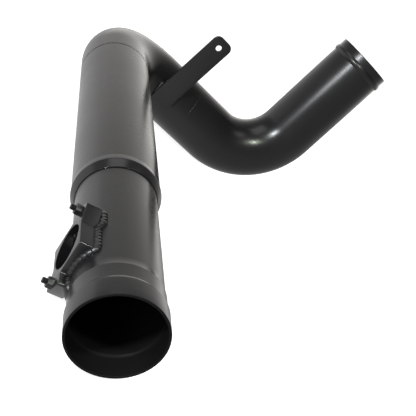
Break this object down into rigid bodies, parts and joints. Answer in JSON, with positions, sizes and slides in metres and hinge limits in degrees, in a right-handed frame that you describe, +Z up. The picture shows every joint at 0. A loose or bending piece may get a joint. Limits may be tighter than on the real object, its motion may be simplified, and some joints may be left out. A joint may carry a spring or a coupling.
{
  "type": "cold air intake pipe",
  "caption": "Black coated intake pipe with a stepped inlet tube, a side port flange, square bends, a strap bracket and a beaded outlet for a hose.",
  "frame": {"origin": "centre of the inlet mouth, on the axis of the main tube", "axes": "+Y along the main tube from the mouth to the rear bend, +X along the cross leg, +Z up towards the outlet"},
  "size_m": [0.3446, 0.6173, 0.256],
  "materials": {
    "black_coat": "satin black powder coat",
    "dark_fastener": "dark zinc plate"
  },
  "bodies": {
    "root": {"inlet_tube": "black_coat", "main_tube": "black_coat", "rear_elbow": "black_coat", "outlet_elbow": "black_coat", "rear_weld": "black_coat", "cross_weld": "black_coat", "port_flange": "black_coat", "port_weld": "black_coat", "port_stud_1": "dark_fastener", "port_stud_2": "dark_fastener", "port_nut_1": "dark_fastener", "port_nut_2": "dark_fastener", "strap_bracket": "black_coat", "strap_weld_left": "black_coat", "strap_weld_right": "black_coat"}
  },
  "joints": []
}
